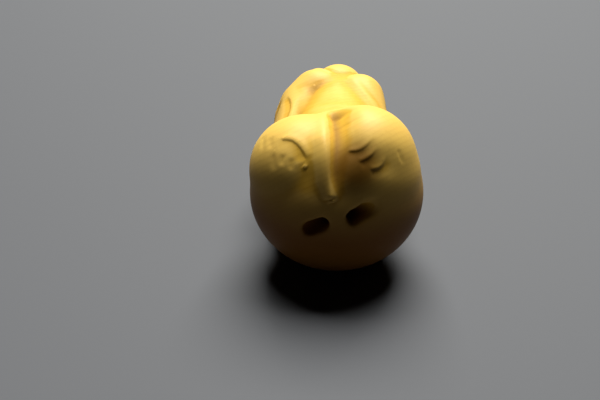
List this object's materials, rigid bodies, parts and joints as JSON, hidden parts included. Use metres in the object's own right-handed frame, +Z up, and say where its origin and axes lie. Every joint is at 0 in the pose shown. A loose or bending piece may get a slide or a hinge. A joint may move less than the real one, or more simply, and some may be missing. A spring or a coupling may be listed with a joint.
{
  "type": "netsuke",
  "caption": "Carved boxwood cord toggle in the form of a crouching robed figure asleep over folded arms, with a curved cord channel in its seat.",
  "frame": {"origin": "on the surface it rests on, below the middle of its outer box", "axes": "+Y the way the figure faces, along its longest extent; +Z up; +X towards the figure's right-hand side"},
  "size_m": [0.031, 0.0538, 0.0305],
  "materials": {
    "boxwood": "satin, polished by handling"
  },
  "bodies": {
    "root": {"netsuke": "boxwood"}
  },
  "joints": []
}
